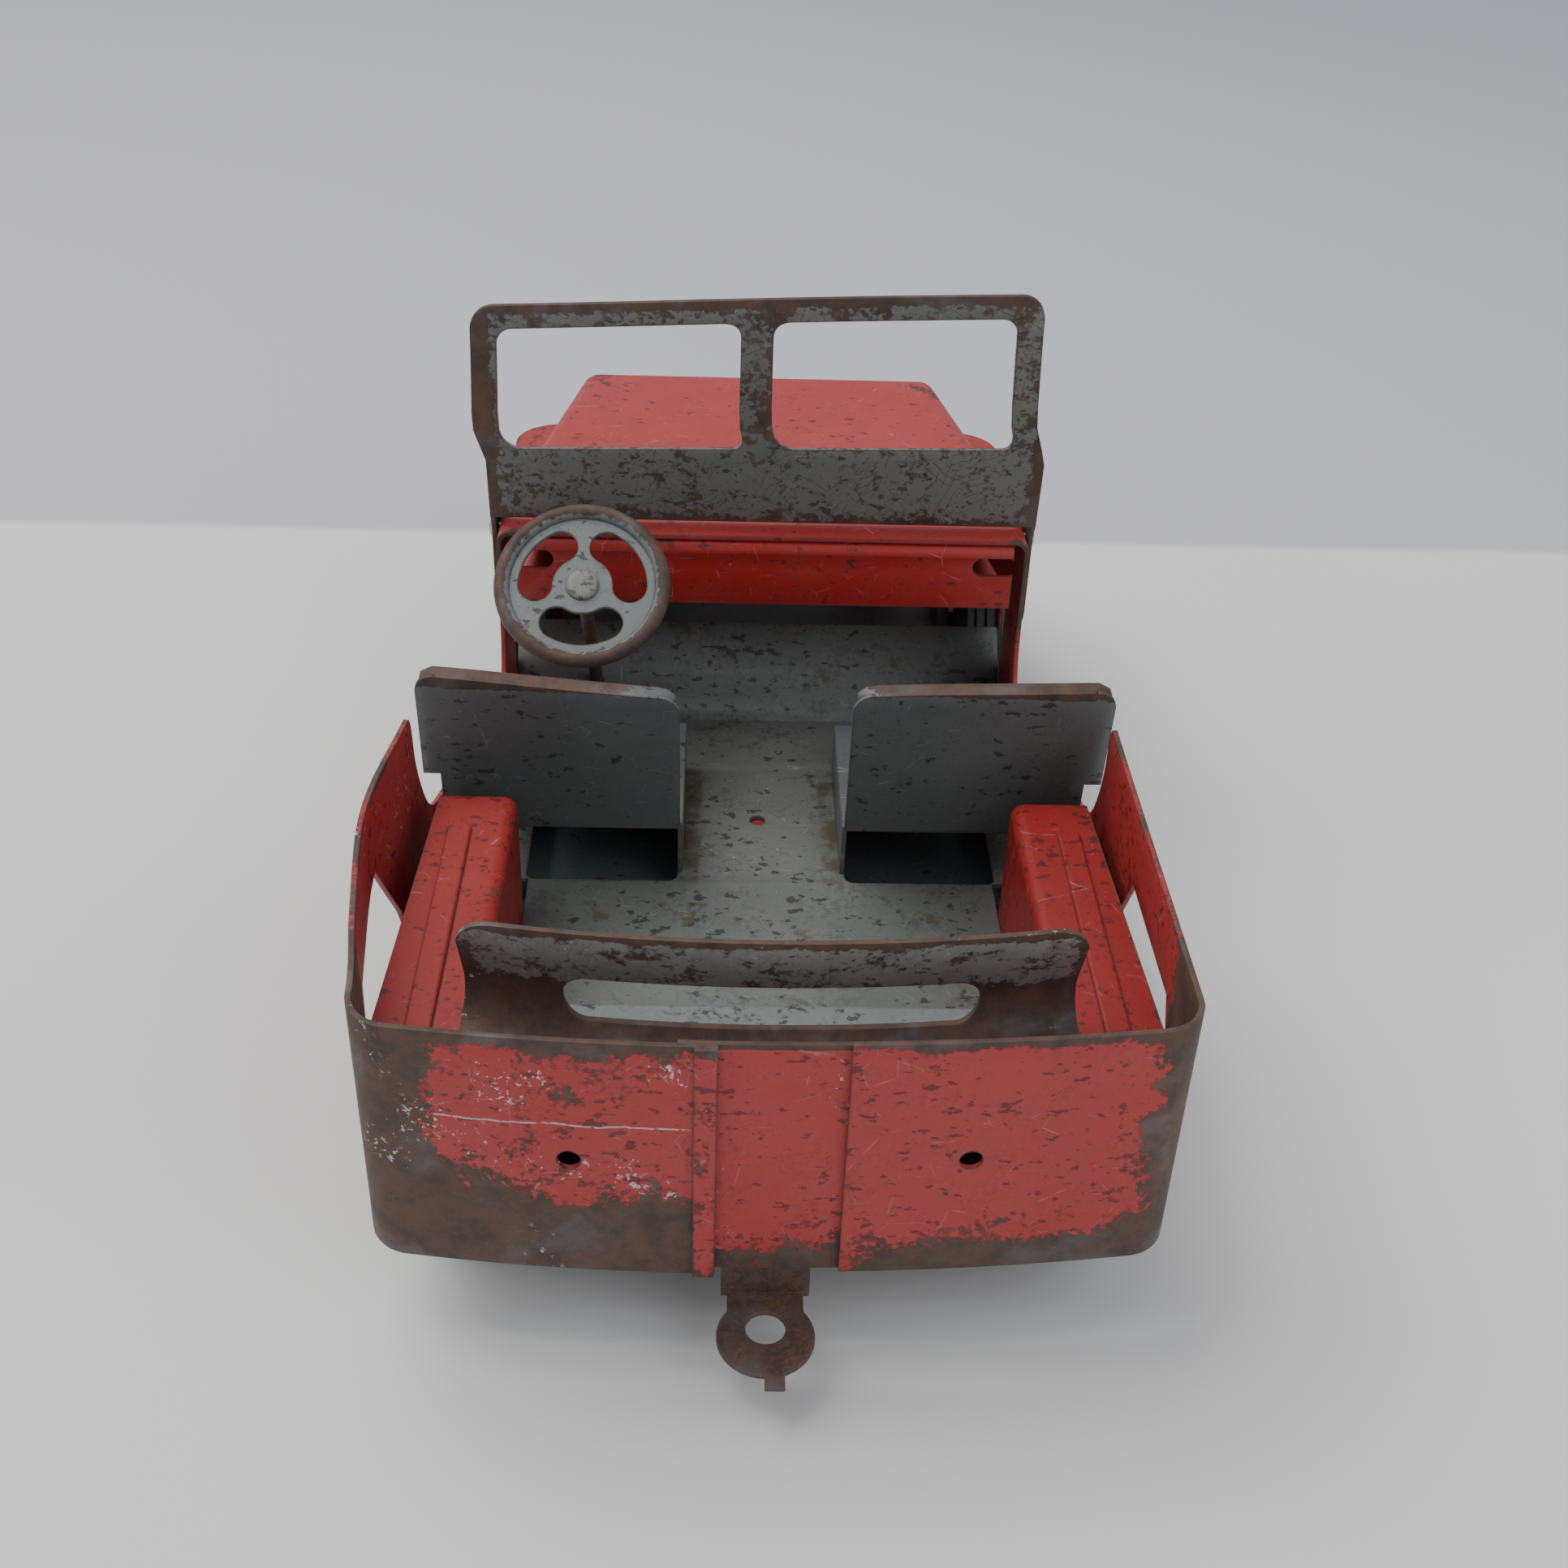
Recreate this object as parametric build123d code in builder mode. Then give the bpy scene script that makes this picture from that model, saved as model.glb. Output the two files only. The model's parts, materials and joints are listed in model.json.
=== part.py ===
from build123d import *
import os
from math import asin, atan2, cos, degrees, radians, sin, sqrt

# Pressed-steel toy off-road utility car: open tub, folding windscreen, turning
# steering wheel, four free-rolling wheels and a rear tow eye.  Millimetres.
# +X is the car's right, +Y its front, +Z up; the ground is z = 0.

# ---- driving dimensions -------------------------------------------------
sheet = 1.0                 # pressed sheet thickness
fit_gap = 0.05              # assembly gap between neighbouring pressings

body_half = 68.5            # half width of the tub
cowl_half = 58.5            # half width at the cowl
body_bottom = 20.0
tub_top = 70.0
rear_corner_y = -124.0
rear_bow = 5.0              # how far the rear panel bulges at its middle
corner_radius = 8.0
tub_front_y = -34.0         # where the full-height tub wall ends
door_front_y = 27.0
waist_rear_y = -30.0        # the tub narrows between these two
waist_front_y = 16.0
side_front_y = 44.0
sill_top = 42.0

seam_left = -8.7            # edge of the left rear sheet
seam_right = 12.0           # edge of the right rear sheet

floor_top = 28.0
floor_half = 48.4
toe_bottom_y = 34.0
toe_rise = 17.0
toe_half = 53.0

fender_top = 58.0
fender_half = 64.5
hood_rear_y = 26.0
hood_front_y = 126.0
hood_rear_top = 80.0
hood_front_top = 76.0
hood_front_half = 46.0

wheel_radius = 24.0
tyre_width = 14.0
wheel_inner_x = 50.3
rear_axle_y = -84.0
front_axle_y = 91.0
axle_radius = 1.5
front_ear_x = 46.5          # outer face of the front axle bracket's ears
running_gap = 0.06

screen_lean = 7.0           # degrees the windscreen leans back
screen_half = 60.1
pivot_y = 38.4
pivot_z = 75.2
pivot_shank = 1.05
screen_base_y = 32.4
screen_base_z = 81.0
screen_height = 50.4

wheel_hub = (-38.3, 6.0, 77.8)      # centre of the steering wheel
column_tilt = 51.5                  # degrees of the column above horizontal

hitch_half = 8.0
hitch_eye_y = -134.8
hitch_eye_radius = 8.3
hitch_hole_radius = 3.4
hitch_z = 10.4

os.makedirs("parts", exist_ok=True)


def save(part, name):
    part.label = name
    export_step(part, f"parts/{name}.step")


# ---- body sides and rear panel ------------------------------------------
bow_radius = (body_half**2 + rear_bow**2) / (2 * rear_bow)


def rear_face_y(x):
    """Outer face of the bowed rear panel."""
    centre_y = rear_corner_y - rear_bow + bow_radius
    return centre_y - sqrt(bow_radius**2 - x**2)


with BuildPart() as tub_block:
    with BuildSketch(Plane.XY.offset(body_bottom)):
        with BuildLine():
            rear = ThreePointArc(
                (-body_half, rear_corner_y),
                (0, rear_corner_y - rear_bow),
                (body_half, rear_corner_y),
            )
            right_side = Line(rear @ 1, (body_half, waist_rear_y))
            right_waist = Spline(
                right_side @ 1,
                (cowl_half, waist_front_y),
                tangents=((0, 1), (0, 1)),
            )
            right_cowl = Line(right_waist @ 1, (cowl_half, side_front_y))
            front = Line(right_cowl @ 1, (-cowl_half, side_front_y))
            left_cowl = Line(front @ 1, (-cowl_half, waist_front_y))
            left_waist = Spline(
                left_cowl @ 1,
                (-body_half, waist_rear_y),
                tangents=((0, -1), (0, -1)),
            )
            Line(left_waist @ 1, rear @ 0)
        make_face()
    extrude(amount=tub_top - body_bottom)
    rear_corners = tub_block.edges().filter_by(Axis.Z).sort_by(Axis.Y)[:2]
    fillet(rear_corners, radius=corner_radius)

with BuildPart() as tub_core:
    add(tub_block.part)
    offset(amount=-(sheet + fit_gap))

with BuildPart() as tub_shell:
    add(tub_block.part)
    ends = tub_shell.faces().filter_by(Axis.Z)
    front_face = tub_shell.faces().sort_by(Axis.Y)[-1]
    offset(amount=-sheet, openings=[*ends, front_face])

    # rear wheel arches, rounded at the top
    arch_half = 27.5
    arch_top = 57.0
    with BuildSketch(Plane.YZ):
        with BuildLine():
            Polyline(
                (rear_axle_y - arch_half, body_bottom - 5),
                (rear_axle_y - arch_half, 38),
                (rear_axle_y - 16, arch_top),
                (rear_axle_y + 16, arch_top),
                (rear_axle_y + arch_half, 38),
                (rear_axle_y + arch_half, body_bottom - 5),
                close=True,
            )
        arch_face = make_face()
        fillet(arch_face.vertices().group_by(Axis.Y)[1:-1][0], radius=14)
        fillet(arch_face.vertices().group_by(Axis.Y)[1:-1][-1], radius=14)
    extrude(amount=body_half + 5, both=True, mode=Mode.SUBTRACT)

    # door openings: S-shaped drop behind the seat, low sill, rise to the cowl
    with BuildSketch(Plane.YZ):
        with BuildLine():
            drop = Spline(
                (tub_front_y - 4, tub_top + 1),
                (tub_front_y, tub_top - 8),
                (tub_front_y + 2, tub_top - 17),
                (tub_front_y + 14, sill_top),
                tangents=((1, 0), (1, 0)),
            )
            sill = Line(drop @ 1, (door_front_y - 14, sill_top))
            rise = Spline(
                sill @ 1,
                (door_front_y - 1, fender_top),
                tangents=((1, 0), (0, 1)),
            )
            ledge = Line(rise @ 1, (side_front_y + 1, fender_top))
            Polyline(
                ledge @ 1,
                (side_front_y + 1, tub_top + 1),
                drop @ 0,
            )
        make_face()
    extrude(amount=body_half + 5, both=True, mode=Mode.SUBTRACT)

    # lamp holes through the rear panel
    lamp_hole_x = 32.3
    lamp_hole_z = 45.0
    with BuildSketch(Plane.XZ.offset(-rear_corner_y - 10)):
        with Locations((-lamp_hole_x, lamp_hole_z), (lamp_hole_x, lamp_hole_z)):
            Circle(1.95)
    extrude(amount=25, mode=Mode.SUBTRACT)

with BuildPart() as body_side_left:
    add(tub_shell.part)
    split(bisect_by=Plane.YZ.offset(seam_left), keep=Keep.BOTTOM)
    # raised lip along the seam edge of the left sheet
    lip_y = rear_face_y(seam_left)
    with BuildSketch(Plane.XY.offset(body_bottom)):
        with Locations((seam_left - 1.9, lip_y - 0.2)):
            Rectangle(3.6, 1.2)
    extrude(amount=tub_top - body_bottom)
save(body_side_left.part, "body_side_left")

with BuildPart() as body_side_right:
    add(tub_shell.part)
    split(bisect_by=Plane.YZ.offset(seam_right), keep=Keep.TOP)
save(body_side_right.part, "body_side_right")

strap_depth = sheet + fit_gap
with BuildPart() as rear_seam_strap:
    with BuildSketch(Plane.XY.offset(body_bottom)):
        with BuildLine():
            outer = ThreePointArc(
                (-15, rear_face_y(15) + strap_depth),
                (0, rear_face_y(0) + strap_depth),
                (17, rear_face_y(17) + strap_depth),
            )
            tip = Line(outer @ 1, outer @ 1 + (0, sheet))
            inner = ThreePointArc(
                tip @ 1,
                (0, rear_face_y(0) + strap_depth + sheet),
                outer @ 0 + (0, sheet),
            )
            Line(inner @ 1, outer @ 0)
        make_face()
    extrude(amount=tub_top - body_bottom - 0.6)
save(rear_seam_strap.part, "rear_seam_strap")

# ---- hood and cowl --------------------------------------------------------


def hood_section(y, half, top, bottom, radius):
    """Upright section of the hood with rounded upper corners."""
    with BuildSketch(Plane.XZ.offset(-y)) as section:
        with BuildLine():
            side = Line((-half, bottom), (-half, top - radius))
            corner = JernArc(side @ 1, (0, 1), radius, -90)
            roof = Line(corner @ 1, (half - radius, top))
            far_corner = JernArc(roof @ 1, (1, 0), radius, -90)
            Polyline(far_corner @ 1, (half, bottom), (-half, bottom))
        make_face()
    return section.sketch


def hood_block(inset, nose_radius):
    """Solid hood, inset on every closed side, with a rounded nose."""
    bottom = fender_top - 2 * inset
    cowl = (cowl_half - inset, hood_rear_top - inset, bottom, 3.5 - inset)
    nose = (hood_front_half - inset, hood_front_top - inset, bottom, 5.0 - inset)
    rear_section = hood_section(hood_rear_y - 2 * inset, *cowl)
    cowl_section = hood_section(side_front_y, *cowl)
    nose_section = hood_section(hood_front_y - inset, *nose)
    with BuildPart() as block:
        loft(sections=[rear_section, cowl_section], ruled=True)
        loft(sections=[cowl_section, nose_section], ruled=True)
        nose_face = block.faces().sort_by(Axis.Y)[-1]
        rim = nose_face.edges().filter_by(lambda edge: edge.center().Z > bottom + 0.5)
        fillet(rim, radius=nose_radius)
    return block.part


with BuildPart() as hood:
    add(hood_block(0, 4.5))
    add(hood_block(sheet, 3.5), mode=Mode.SUBTRACT)
    with BuildSketch(Plane.XZ.offset(-hood_front_y - 2)):
        with Locations((0, fender_top + 5)):
            RectangleRounded(2 * hood_front_half - 14, 22, 3)
    extrude(amount=10, mode=Mode.SUBTRACT)
    # windscreen pivot holes through the cowl sides
    with BuildSketch(Plane.YZ):
        with Locations((pivot_y, pivot_z)):
            Circle(pivot_shank + running_gap)
    extrude(amount=cowl_half + 2, both=True, mode=Mode.SUBTRACT)
save(hood.part, "hood")

# ---- dash ------------------------------------------------------------------
dash_drop = 15.0
dash_half = cowl_half - sheet - 2.5
with BuildPart() as dash_panel:
    dash_top = hood_rear_top - sheet - fit_gap
    with BuildSketch(Plane.YZ):
        with BuildLine():
            lip = Line((hood_rear_y + 6, dash_top), (hood_rear_y + 2, dash_top))
            roll = JernArc(lip @ 1, (-1, 0), 3.0, 90)
            face = Line(roll @ 1, roll @ 1 - (0, dash_drop - 3.0))
            hem = Line(face @ 1, face @ 1 + (sheet, 0))
            back = Line(hem @ 1, hem @ 1 + (0, dash_drop - 3.0))
            inner_roll = JernArc(back @ 1, (0, 1), 2.0, -90)
            underside = Line(inner_roll @ 1, (hood_rear_y + 6, dash_top - sheet))
            Line(underside @ 1, lip @ 0)
        make_face()
    extrude(amount=dash_half, both=True)
    # relief notches at the upper corners
    with BuildSketch(Plane.XZ.offset(-hood_rear_y + 6)):
        with Locations((-51, hood_rear_top - 6), (51, hood_rear_top - 6)):
            SlotOverall(10, 4.4)
    extrude(amount=-9, mode=Mode.SUBTRACT)
save(dash_panel.part, "dash_panel")

# ---- grille, headlamps, fenders, bumper -------------------------------------
grille_face_y = hood_front_y - sheet - fit_gap
grille_bottom = 24.0
grille_top = 71.0
grille_half = 41.0
with BuildPart() as grille_panel:
    with BuildSketch(Plane.XZ.offset(-grille_face_y)):
        with Locations((0, (grille_bottom + grille_top) / 2)):
            RectangleRounded(2 * grille_half, grille_top - grille_bottom, 4)
        with Locations((0, 54)):
            with GridLocations(5.4, 0, 9, 1):
                SlotOverall(26, 2.6, rotation=90, mode=Mode.SUBTRACT)
    extrude(amount=sheet)
save(grille_panel.part, "grille_panel")

for name, side in (("headlamp_left", -1), ("headlamp_right", 1)):
    lamp_seat_y = grille_face_y + fit_gap
    with BuildPart() as headlamp:
        with BuildSketch():
            with BuildLine():
                axis_line = Line((0, lamp_seat_y), (0, lamp_seat_y + 4.4))
                dome = ThreePointArc(
                    axis_line @ 1,
                    (3.4, lamp_seat_y + 3.4),
                    (5.2, lamp_seat_y + 1.2),
                )
                Polyline(dome @ 1, (6.2, lamp_seat_y + 1.2), (6.2, lamp_seat_y), axis_line @ 0)
            make_face()
        revolve(axis=Axis.Y)
    save(headlamp.part.moved(Location((side * 31.6, 0, 63))), name)

fender_rear_y = 46.0
fender_front_y = 138.0
fender_inner = 44.0
fender_lip = 7.0
for name, side in (("fender_left", -1), ("fender_right", 1)):
    middle_x = side * (fender_inner + fender_half) / 2
    middle_y = (fender_rear_y + fender_front_y) / 2
    with BuildPart() as fender:
        with BuildSketch(Plane.XY.offset(fender_top - fender_lip)):
            with Locations((middle_x, middle_y)):
                Rectangle(fender_half - fender_inner, fender_front_y - fender_rear_y)
        extrude(amount=fender_lip)
        uprights = fender.edges().filter_by(Axis.Z).sort_by(Axis.Y)[-2:]
        fillet(uprights.sort_by(lambda edge: abs(edge.center().X))[-1], radius=12)
        bottom_face = fender.faces().sort_by(Axis.Z)[0]
        rear_face = fender.faces().sort_by(Axis.Y)[0]
        inner_face = fender.faces().sort_by(lambda face: abs(face.center().X))[0]
        offset(amount=-sheet, openings=[bottom_face, rear_face, inner_face])
    save(fender.part, name)

bumper_front_y = 145.6
bumper_depth = 5.0
bumper_half = 60.0
bumper_low = 21.0
bumper_high = 31.0
with BuildPart() as front_bumper:
    with BuildSketch(Plane.XZ.offset(-bumper_front_y)):
        with Locations((0, (bumper_low + bumper_high) / 2)):
            Rectangle(2 * bumper_half, bumper_high - bumper_low)
    extrude(amount=bumper_depth)
    fillet(front_bumper.edges().filter_by(Axis.X).group_by(Axis.Y)[-1], radius=1.6)
    offset(amount=-sheet, openings=front_bumper.faces().sort_by(Axis.Y)[0])
save(front_bumper.part, "front_bumper")

with BuildPart() as bumper_brackets:
    bracket_rear_y = grille_face_y + fit_gap
    bracket_front_y = bumper_front_y - sheet - fit_gap
    with BuildSketch(Plane.YZ.offset(-29)):
        with BuildLine():
            Polyline(
                (bracket_rear_y, 36),
                (bracket_rear_y, 25),
                (bracket_front_y, 25),
                (bracket_front_y, 26),
                (bracket_rear_y + sheet, 26),
                (bracket_rear_y + sheet, 36),
                close=True,
            )
        make_face()
    extrude(amount=8)
    mirror(about=Plane.YZ)
save(bumper_brackets.part, "bumper_brackets")

# ---- floor ---------------------------------------------------------------
tilt = radians(column_tilt)
wheel_plane = Plane(
    origin=wheel_hub,
    x_dir=(1, 0, 0),
    z_dir=(0, -cos(tilt), sin(tilt)),
)
column_radius = 1.5
seat_hole_rear_y = -30.0
seat_hole_front_y = 13.0
tunnel_half = 17.5
floor_rear_y = -121.0
with BuildPart() as floor_pan:
    toe_lean = sheet * (sqrt(2) - 1)
    toe_top_y = toe_bottom_y + toe_rise
    with BuildSketch(Plane.YZ):
        with BuildLine():
            Polyline(
                (floor_rear_y, floor_top),
                (toe_bottom_y, floor_top),
                (toe_top_y, floor_top + toe_rise),
                (toe_top_y + sheet / sqrt(2), floor_top + toe_rise - sheet / sqrt(2)),
                (toe_bottom_y + toe_lean, floor_top - sheet),
                (floor_rear_y, floor_top - sheet),
                close=True,
            )
        make_face()
    extrude(amount=toe_half, both=True)
    with BuildSketch(Plane.XY.offset(floor_top - 2 * sheet)):
        hole_middle_y = (seat_hole_rear_y + seat_hole_front_y) / 2
        hole_length = seat_hole_front_y - seat_hole_rear_y
        with Locations((-33.25, hole_middle_y), (33.25, hole_middle_y)):
            RectangleRounded(31.5, hole_length, 2)
        # the pan narrows between the wheel wells
        with Locations((-58, -78), (58, -78)):
            Rectangle(2 * (58 - floor_half), 96)
        with Locations((-0.6, -7.5)):
            Circle(1.7)
    extrude(amount=3 * sheet, mode=Mode.SUBTRACT)
    # bearing hole of the steering column in the toe board
    with BuildSketch(wheel_plane):
        Circle(column_radius + running_gap)
    extrude(amount=-80, mode=Mode.SUBTRACT)
save(floor_pan.part, "floor_pan")

# closing plate under the seat holes, fitted inside the body sides
plate_bottom = body_bottom + 1.1
plate_rear_y = -44.0
plate_front_y = 20.0
with BuildPart() as underseat_plate:
    add(tub_core.part)
    with BuildSketch(Plane.XY.offset(plate_bottom)):
        with Locations((0, (plate_rear_y + plate_front_y) / 2)):
            Rectangle(2 * body_half, plate_front_y - plate_rear_y)
    extrude(amount=sheet, mode=Mode.INTERSECT)
save(underseat_plate.part, "underseat_plate")

# channel rail between the plate and the floor, open below
rail_half = 9.0
rail_bottom = plate_bottom + sheet + fit_gap
with BuildPart() as chassis_rail:
    with BuildSketch(Plane.XZ.offset(-plate_rear_y - 1)):
        with Locations((0, floor_top - sheet - fit_gap)):
            Rectangle(
                2 * rail_half,
                floor_top - sheet - fit_gap - rail_bottom,
                align=(Align.CENTER, Align.MAX),
            )
        with Locations((0, rail_bottom)):
            Rectangle(
                2 * (rail_half - sheet),
                floor_top - 2 * sheet - fit_gap - rail_bottom,
                align=(Align.CENTER, Align.MIN),
                mode=Mode.SUBTRACT,
            )
    extrude(amount=plate_rear_y - plate_front_y + 2)
save(chassis_rail.part, "chassis_rail")

# tray closing the underside between the front wheels
tray_top = 29.0
tray_half = wheel_inner_x - 0.5
tray_rear_y = toe_bottom_y + toe_lean + tray_top - (floor_top - sheet) + fit_gap
tray_front_y = hood_front_y - sheet - 2 * fit_gap - sheet
with BuildPart() as engine_tray:
    with BuildSketch(Plane.XY.offset(tray_top - sheet)):
        with Locations((0, (tray_rear_y + tray_front_y) / 2)):
            Rectangle(2 * tray_half, tray_front_y - tray_rear_y)
        # slots for the ears of the front axle bracket
        ear_middle = front_ear_x - sheet / 2
        with Locations((-ear_middle, front_axle_y), (ear_middle, front_axle_y)):
            Rectangle(sheet + 0.2, 18.2, mode=Mode.SUBTRACT)
    extrude(amount=sheet)
save(engine_tray.part, "engine_tray")

# ---- wheel wells ------------------------------------------------------------
well_top = 55.0
well_bottom = 26.5
well_inner = floor_half + fit_gap
well_rear_y = -122.0
well_front_y = -38.0
bead_front_y = -49.0
for name, side in (("wheel_well_left", -1), ("wheel_well_right", 1)):
    with BuildPart() as wheel_well:
        with BuildSketch(Plane.XY.offset(well_bottom)):
            with BuildLine():
                Polyline(
                    (side * well_inner, well_rear_y),
                    (side * 66.8, well_rear_y),
                    (side * 63.5, well_front_y),
                    (side * well_inner, well_front_y),
                    close=True,
                )
            make_face()
        extrude(amount=well_top - well_bottom)
        front_uprights = wheel_well.edges().filter_by(Axis.Z).sort_by(Axis.Y)[-2:]
        fillet(front_uprights.sort_by(lambda edge: abs(edge.center().X))[0], radius=3)
        crown = wheel_well.faces().sort_by(Axis.Z)[-1].edges().sort_by(Axis.Y)[1:]
        fillet(crown.sort_by(lambda edge: abs(edge.center().X))[:3], radius=2.5)
        bottom_face = wheel_well.faces().sort_by(Axis.Z)[0]
        rear_face = wheel_well.faces().sort_by(Axis.Y)[0]
        outer_face = wheel_well.faces().sort_by(lambda face: abs(face.center().X))[-1]
        offset(amount=-sheet, openings=[bottom_face, rear_face, outer_face])
        # pressed bead along the top
        with BuildSketch(Plane.XY.offset(well_top)):
            with Locations((side * 58.3, (well_rear_y + bead_front_y) / 2)):
                SlotOverall(bead_front_y - well_rear_y - 0.4, 4.6, rotation=90)
        extrude(amount=0.8)
        fillet(wheel_well.faces().sort_by(Axis.Z)[-1].edges(), radius=0.6)
        # corner cut off to clear the rounded rear corner of the tub
        with BuildSketch(Plane.XY.offset(well_bottom - sheet)):
            with Locations(Location((side * 66.8, well_rear_y), 45)):
                Rectangle(5, 5)
        extrude(amount=well_top - well_bottom + 3 * sheet, mode=Mode.SUBTRACT)
    save(wheel_well.part, name)

# ---- front seats --------------------------------------------------------------
seat_pan_z = 40.0
seat_inner = 16.5
seat_outer = 56.0
seat_rear_y = -27.0
back_lean = 7.7
back_height = 36.5
back_inner = 17.0
back_outer = 68.4
back_notch_outer = 65.0
back_notch_height = 13.5
for name, side in (("front_seat_left", -1), ("front_seat_right", 1)):
    back_plane = Plane(
        origin=(0, seat_rear_y, seat_pan_z - sheet),
        x_dir=(1, 0, 0),
        z_dir=(0, -cos(radians(back_lean)), -sin(radians(back_lean))),
    )
    with BuildPart() as front_seat:
        with BuildSketch(Plane.XZ.offset(-seat_rear_y)):
            with BuildLine():
                Polyline(
                    (side * seat_inner, floor_top + fit_gap),
                    (side * seat_inner, seat_pan_z),
                    (side * seat_outer, seat_pan_z),
                    (side * seat_outer, seat_pan_z - sheet),
                    (side * (seat_inner + sheet), seat_pan_z - sheet),
                    (side * (seat_inner + sheet), floor_top + fit_gap),
                    close=True,
                )
            make_face()
        extrude(amount=seat_rear_y - seat_hole_front_y)
        # front skirt of the pan
        with BuildSketch(Plane.XZ.offset(-seat_hole_front_y)):
            with Locations((side * (seat_inner + seat_outer) / 2, seat_pan_z - 5)):
                Rectangle(seat_outer - seat_inner, 10)
        extrude(amount=sheet)
        # seatback with rounded upper corners and notched outer foot
        with BuildSketch(back_plane):
            with BuildLine():
                Polyline(
                    (side * back_inner, 0),
                    (side * back_inner, back_height),
                    (side * back_outer, back_height),
                    (side * back_outer, back_notch_height),
                    (side * back_notch_outer, back_notch_height),
                    (side * back_notch_outer, 0),
                    close=True,
                )
            outline = make_face()
            fillet(outline.vertices().group_by(Axis.Y)[-1], radius=4)
        extrude(amount=-sheet)
        # flange folded forward along the top edge
        with BuildSketch(back_plane):
            with Locations((side * (back_inner + back_outer) / 2, back_height - sheet / 2)):
                Rectangle(back_outer - back_inner - 9, sheet)
        extrude(amount=-3.6)
    save(front_seat.part, name)

# ---- rear seat ------------------------------------------------------------------
rear_seat_half = 51.0
rear_seat_sag = 4.95
sag_radius = (rear_seat_half**2 + rear_seat_sag**2) / (2 * rear_seat_sag)
sag_angle = asin(rear_seat_half / sag_radius)
back_top_z = 80.0
back_top_y = -116.5
back_foot_z = 67.0          # where the sloping face meets the lower bend
back_slope_run = 4.2
back_bend_radius = 7.6
back_shelf = 4.6
sag_centre_y = back_top_y + sag_radius
end_plane = Plane(
    origin=(-sag_radius * sin(sag_angle), sag_centre_y - sag_radius * cos(sag_angle), 0),
    x_dir=(sin(sag_angle), cos(sag_angle), 0),
    z_dir=(cos(sag_angle), -sin(sag_angle), 0),
)
with BuildPart() as rear_seat_back:
    with BuildSketch(end_plane):
        with BuildLine():
            upper = Line((0, back_top_z), (back_slope_run, back_foot_z))
            turn = 180 - degrees(atan2(back_top_z - back_foot_z, back_slope_run))
            bend = JernArc(upper @ 1, upper % 1, back_bend_radius, -turn)
            Line(bend @ 1, bend @ 1 - (back_shelf, 0))
            offset(amount=sheet, side=Side.LEFT, closed=True)
        make_face()
    revolve(axis=Axis((0, sag_centre_y, 0), (0, 0, 1)), revolution_arc=2 * degrees(sag_angle))
    # rounded upper corners
    with BuildSketch(Plane.XZ.offset(-back_top_y + 10)):
        with Locations((0, back_top_z - 30)):
            RectangleRounded(2 * (rear_seat_half - 0.2), 60, 6.5)
    extrude(amount=-30, mode=Mode.INTERSECT)
    # long hand slot, rounded ends
    with BuildSketch(Plane.XZ.offset(-back_top_y + 10)):
        with Locations((0, 64.0)):
            SlotOverall(68, 8)
    extrude(amount=-30, mode=Mode.SUBTRACT)
save(rear_seat_back.part, "rear_seat_back")

rear_pan_z = 46.0
with BuildPart() as rear_seat_pan:
    with BuildSketch(Plane.XY.offset(floor_top + fit_gap)):
        with BuildLine():
            Polyline((-46, -111), (46, -111), (46, -90), (-46, -90), close=True)
        cushion = make_face()
        fillet(cushion.vertices().group_by(Axis.Y)[-1], radius=6)
    extrude(amount=rear_pan_z - floor_top)
    fillet(rear_seat_pan.faces().sort_by(Axis.Z)[-1].edges().sort_by(Axis.Y)[1:], radius=2)
    rear_face = rear_seat_pan.faces().sort_by(Axis.Y)[0]
    bottom_face = rear_seat_pan.faces().sort_by(Axis.Z)[0]
    offset(amount=-sheet, openings=[rear_face, bottom_face])
save(rear_seat_pan.part, "rear_seat_pan")

# ---- windscreen ---------------------------------------------------------------
lean = radians(screen_lean)
screen_plane = Plane(
    origin=(0, screen_base_y, screen_base_z),
    x_dir=(1, 0, 0),
    z_dir=(0, -cos(lean), -sin(lean)),
)
window_low = 19.2
window_high = 45.6
window_outer = 54.6
window_inner = 4.4
arm_half = 5.2
arm_foot_z = 59.4
with BuildPart() as windshield_frame:
    with BuildSketch(screen_plane):
        with BuildLine():
            Polyline(
                (-screen_half, 0),
                (-screen_half, screen_height),
                (screen_half, screen_height),
                (screen_half, 0),
                close=True,
            )
        outline = make_face()
        fillet(outline.vertices().group_by(Axis.Y)[-1], radius=5)
        window_width = window_outer - window_inner
        window_x = (window_outer + window_inner) / 2
        window_y = (window_low + window_high) / 2
        with Locations((-window_x, window_y), (window_x, window_y)):
            RectangleRounded(window_width, window_high - window_low, 3.2, mode=Mode.SUBTRACT)
    extrude(amount=sheet)
    # arms folded forward outside the cowl
    for side in (-1, 1):
        with BuildSketch(Plane.YZ.offset(side * (screen_half - sheet / 2))):
            with BuildLine():
                back_low = (pivot_y - arm_half, arm_foot_z)
                front_low = (pivot_y + arm_half, arm_foot_z)
                spine = Polyline(
                    back_low,
                    (pivot_y - arm_half, screen_base_z - 3),
                    (screen_base_y - 1.0, screen_base_z),
                    (screen_base_y - 2.4, screen_base_z + 12),
                    (screen_base_y - 1.4, screen_base_z + 12),
                )
                shoulder = Spline(
                    spine @ 1,
                    (pivot_y + arm_half, pivot_z + 3),
                    tangents=((0.3, -1), (0, -1)),
                )
                Line(shoulder @ 1, front_low)
                ThreePointArc(front_low, (pivot_y, arm_foot_z - arm_half), back_low)
            make_face()
        extrude(amount=sheet / 2, both=True)
    with BuildSketch(Plane.YZ):
        with Locations((pivot_y, pivot_z)):
            Circle(pivot_shank + 0.01)
    extrude(amount=screen_half + 1, both=True, mode=Mode.SUBTRACT)
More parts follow.
